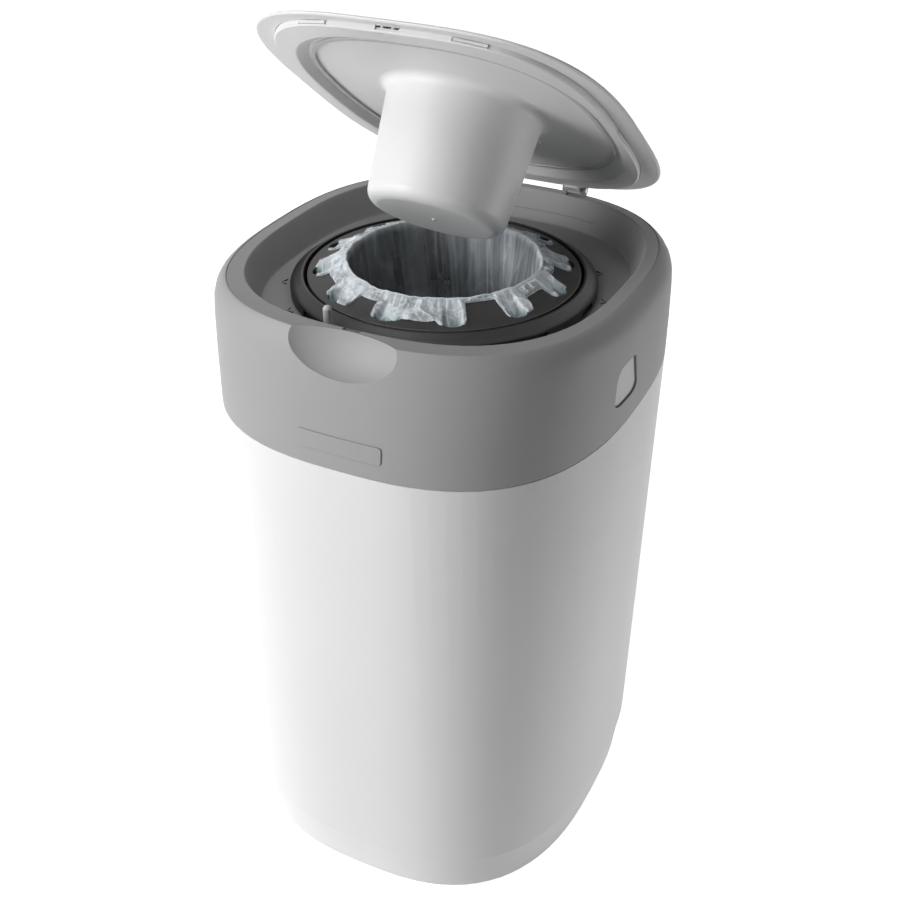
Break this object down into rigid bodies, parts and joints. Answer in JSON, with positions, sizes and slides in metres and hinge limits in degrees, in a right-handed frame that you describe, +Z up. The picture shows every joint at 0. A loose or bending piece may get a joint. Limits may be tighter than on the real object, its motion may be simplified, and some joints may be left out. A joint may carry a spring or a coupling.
{
  "type": "nappy bin",
  "caption": "Twist-and-seal nappy bin: tapered tub, grey collar with turning film cassette, hinged lid with push-down plunger.",
  "frame": {"origin": "middle of the footprint on the floor", "axes": "+Z up, -Y towards the front with the finger scoop, +X to the right seen from the front"},
  "size_m": [0.286, 0.3152, 0.6213],
  "materials": {
    "white_shell": "satin",
    "grey_shell": "satin",
    "black_ring": "satin",
    "film": "thin film",
    "tongue": "satin",
    "steel": "plain",
    "seal": "soft"
  },
  "bodies": {
    "tub": {"tub": "white_shell", "catch_clip_r": "steel", "catch_clip_l": "steel"},
    "head": {"collar": "grey_shell", "front_pad": "grey_shell", "deck": "grey_shell", "deck_screws": "steel", "hinge_pin_r": "steel", "hinge_pin_l": "steel", "release_spring_r": "steel", "release_spring_l": "steel", "click_spring": "steel"},
    "release_r": {"release_r": "tongue"},
    "release_l": {"release_l": "tongue"},
    "click_finger": {"click_finger": "tongue"},
    "carrier": {"carrier": "black_ring"},
    "cassette": {"cassette_tray": "black_ring", "cassette_cap": "black_ring", "film_pack": "film", "film_bag": "film"},
    "lid": {"lid_cover": "white_shell", "lid_liner": "white_shell", "lid_plunger": "white_shell", "lid_seal": "seal", "lid_clips": "white_shell", "lid_catch": "white_shell"}
  },
  "joints": [
    {"name": "head_lift", "type": "slide", "parent": "tub", "child": "head", "axis": [0, 0, 1], "range_m": [0, 0.12], "deforming": ["catch_clip_r", "catch_clip_l"]},
    {"name": "lid_hinge", "type": "hinge", "parent": "head", "child": "lid", "pos_m": [0, 0.134, 0.4534], "axis": [-1, 0, 0], "range_deg": [-36.5, 38]},
    {"name": "carrier_spin", "type": "hinge", "parent": "head", "child": "carrier", "pos_m": [0, -0.0095, 0.42], "axis": [0, 0, 1], "continuous": true},
    {"name": "cassette_lift", "type": "slide", "parent": "carrier", "child": "cassette", "axis": [0, 0, 1], "range_m": [0, 0.04]},
    {"name": "release_r_press", "type": "slide", "parent": "head", "child": "release_r", "axis": [-1, 0, 0], "range_m": [0, 0.004], "stiffness_N_per_m": 300, "deforming": ["release_spring_r"]},
    {"name": "release_l_press", "type": "slide", "parent": "head", "child": "release_l", "axis": [1, 0, 0], "range_m": [0, 0.004], "stiffness_N_per_m": 300, "deforming": ["release_spring_l"]},
    {"name": "click_finger_slide", "type": "slide", "parent": "head", "child": "click_finger", "axis": [-0.2756, -0.9613, 0], "range_m": [0, 0.002], "stiffness_N_per_m": 400, "deforming": ["click_spring"]}
  ]
}
